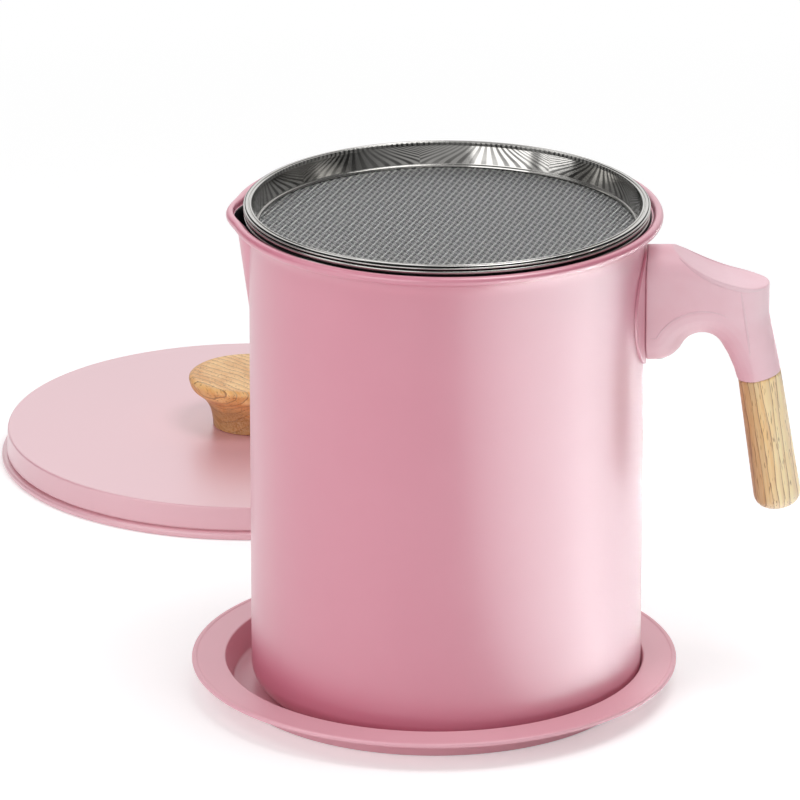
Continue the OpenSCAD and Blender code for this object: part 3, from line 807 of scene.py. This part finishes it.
def make_floor():
    """White floor: it takes the object's shadow near it, and is plain white further out."""
    m = Nodes("floor")
    m.tree.nodes.remove(m.shader)
    diffuse = m.add("ShaderNodeBsdfDiffuse")
    diffuse.inputs["Color"].default_value = (0.9, 0.9, 0.9, 1.0)
    lift = m.add("ShaderNodeEmission")
    plain = m.add("ShaderNodeEmission")
    path = m.add("ShaderNodeLightPath")
    seen = m.math("MAXIMUM", path.outputs["Is Camera Ray"],
                  m.math("MAXIMUM", path.outputs["Is Glossy Ray"], path.outputs["Is Transmission Ray"]))
    m.join(m.math("MULTIPLY", seen, FLOOR_LIFT), lift.inputs["Strength"])
    both = m.add("ShaderNodeAddShader")
    m.join(diffuse.outputs[0], both.inputs[0])
    m.join(lift.outputs[0], both.inputs[1])
    reach = m.add("ShaderNodeVectorMath", operation="LENGTH")
    m.join(m.coords(), reach.inputs[0])
    away = m.spread(reach.outputs["Value"], SHADE_NEAR, SHADE_FAR)
    mix = m.add("ShaderNodeMixShader")
    m.join(m.math("MULTIPLY", away, seen), mix.inputs[0])
    m.join(both.outputs[0], mix.inputs[1])
    m.join(plain.outputs[0], mix.inputs[2])
    m.join(mix.outputs[0], m.out.inputs["Surface"])
    mesh = bpy.data.meshes.new("floor")
    corners = [(x * FLOOR_HALF, y * FLOOR_HALF, 0) for x, y in ((-1, -1), (1, -1), (1, 1), (-1, 1))]
    mesh.from_pydata(corners, [], [(0, 1, 2, 3)])
    mesh.materials.append(m.material)
    floor = bpy.data.objects.new("floor", mesh)
    floor.location.z = FLOOR_Z
    bpy.context.scene.collection.objects.link(floor)


WORLD_LEVEL = 0.10
# soft bright parts: direction, cosines where one starts and is full, and its radiance
WORLD_LOBES = (((0.1, 0.9, 0.5), 0.65, 0.97, 1.15), ((-0.3, -0.9, 0.3), 0.2, 0.9, 0.45))


def make_world():
    """White for the camera; as light and in reflections, soft bright parts behind and in front."""
    world = bpy.data.worlds.new("studio")
    world.use_nodes = True
    tree = world.node_tree
    tree.nodes.clear()

    def join(source, target):
        tree.links.new(source, target)

    out = tree.nodes.new("ShaderNodeOutputWorld")
    soft = tree.nodes.new("ShaderNodeBackground")
    soft.inputs["Color"].default_value = (1.0, 1.0, 1.0, 1.0)
    way = tree.nodes.new("ShaderNodeTexCoord").outputs["Generated"]
    total = None
    for direction, start, full, strength in WORLD_LOBES:
        dot = tree.nodes.new("ShaderNodeVectorMath")
        dot.operation = "DOT_PRODUCT"
        dot.inputs[1].default_value = Vector(direction).normalized()
        join(way, dot.inputs[0])
        lobe = tree.nodes.new("ShaderNodeMapRange")
        lobe.interpolation_type = "SMOOTHSTEP"
        for key, value in (("From Min", start), ("From Max", full), ("To Max", strength)):
            lobe.inputs[key].default_value = value
        join(dot.outputs["Value"], lobe.inputs["Value"])
        add = tree.nodes.new("ShaderNodeMath")
        add.operation = "ADD"
        if total is None:
            add.inputs[0].default_value = WORLD_LEVEL
        else:
            join(total, add.inputs[0])
        join(lobe.outputs[0], add.inputs[1])
        total = add.outputs[0]
    join(total, soft.inputs["Strength"])
    seen = tree.nodes.new("ShaderNodeBackground")
    seen.inputs["Color"].default_value = (1.0, 1.0, 1.0, 1.0)
    seen.inputs["Strength"].default_value = 1.0
    path = tree.nodes.new("ShaderNodeLightPath")
    either = tree.nodes.new("ShaderNodeMath")
    either.operation = "MAXIMUM"
    join(path.outputs["Is Camera Ray"], either.inputs[0])
    join(path.outputs["Is Transmission Ray"], either.inputs[1])
    mix = tree.nodes.new("ShaderNodeMixShader")
    join(either.outputs[0], mix.inputs[0])
    join(soft.outputs[0], mix.inputs[1])
    join(seen.outputs[0], mix.inputs[2])
    join(mix.outputs[0], out.inputs["Surface"])
    bpy.context.scene.world = world


def area_light(name, place, aim, size, power):
    """White rectangular lamp that the camera doesn't see."""
    data = bpy.data.lights.new(name, "AREA")
    data.shape = "RECTANGLE"
    data.size, data.size_y = size
    data.energy = power
    lamp = bpy.data.objects.new(name, data)
    lamp.location = place
    lamp.visible_camera = False
    lamp.rotation_mode = "QUATERNION"
    lamp.rotation_quaternion = (Vector(aim) - Vector(place)).to_track_quat("-Z", "Y")
    bpy.context.scene.collection.objects.link(lamp)
    return lamp


AIM = (0.0, 0.0, 0.08)
# name, place, size and power of the soft lamps, all aimed at the pot's middle
LAMPS = (("key", (-0.72, -1.08, 0.55), (0.9, 0.7), 4.0), ("top", (0.35, -0.12, 1.25), (0.6, 0.6), 6.2),
         ("side", (-0.75, -0.05, 0.95), (0.5, 0.5), 1.6), ("low", (-0.95, -0.35, 0.16), (0.4, 0.2), 0.6))
PANEL = 1.3
PANEL_CORNER = (0.05, -0.03)
# direction of each panel's first side, in degrees from the front towards the handle, and its power
PANELS = ((3, 6.6), (24, 4.4), (46, 2.2), (75, 4.8))


def make_lights():
    """Soft lamps, and overlapping glowing panels flat on the floor at the handle's side.

    Only reflections show the panels: together they give the wall its pale, soft sheen.
    """
    for name, place, size, power in LAMPS:
        area_light(name, place, AIM, size, power)
    for k, (first, power) in enumerate(PANELS):
        panel = area_light("panel_%d" % k, (0.0, 0.0, 0.0), (0.0, 0.0, 1.0), (PANEL, PANEL), power)
        panel.visible_diffuse = False
        panel.data.cycles.use_multiple_importance_sampling = False
        turn = math.radians(first)
        along, across = (math.sin(turn), -math.cos(turn)), (math.cos(turn), math.sin(turn))
        panel.location = (PANEL_CORNER[0] + PANEL / 2 * (along[0] + across[0]),
                          PANEL_CORNER[1] + PANEL / 2 * (along[1] + across[1]), (k + 1) * MM)
        panel.rotation_mode = "XYZ"
        panel.rotation_euler = (math.pi, 0.0, turn)


# ---- assembly --------------------------------------------------------------------

scene = bpy.context.scene
scene.view_settings.view_transform = "Standard"
make_camera()
paint = paint_material("pink_enamel", PINK, 1.0)
# tray and lid take the paler copies of the enamel, which are painted light
make_tray(paint_material("tray_enamel_lit", TRAY_PINK_LIT, 0.15))
make_pot(paint, coating_material())
# the strainer's steel carries the painted reflection of the mesh on its inner wall
bright = steel_material("bright_steel", (0.50, 0.49, 0.47), 0.08, 0.18, 3000.0, reflection_fans=True)
# the grooves' near-black material is painted shade
make_strainer(bright, plain_metal("groove_painted_shade", (0.012, 0.012, 0.012), 0.4), wire_material())
make_lid(paint_material("lid_enamel_lit", LID_PINK_LIT, 1.0),
         wood_material("knob_wood", fibres=(0.42, -0.72, -0.45), shift=(0.31, 0.12, 0.05), lines=120.0,
                       pale=(0.96, 0.58, 0.22), tan=(0.76, 0.34, 0.08), varnish=0.1, shade_plane=KNOB_SHADE_PLANE))
make_handle(plastic_material("pink_plastic", ARM_PINK, ARM_PALE),
            # the paler plastic for the creases is a painted highlight
            plastic_material("pink_plastic_crease_highlight", CREASE_HIGHLIGHT_PINK, CREASE_HIGHLIGHT_PALE),
            wood_material("grip_wood", fibres=GRIP_WAY, shift=(0.07, 0.21, 0.4), lines=140.0,
                          pale=(1.0, 0.86, 0.47), tan=(0.95, 0.64, 0.26), varnish=0.3, shade_plane=GRIP_SHADE_PLANE))
finish_small_parts(paint, bright, plain_metal("zinc", (0.62, 0.62, 0.63), 0.3),
                   plain_metal("brass", (0.6, 0.42, 0.17), 0.3), rubber_material())
make_floor()
make_world()
make_lights()
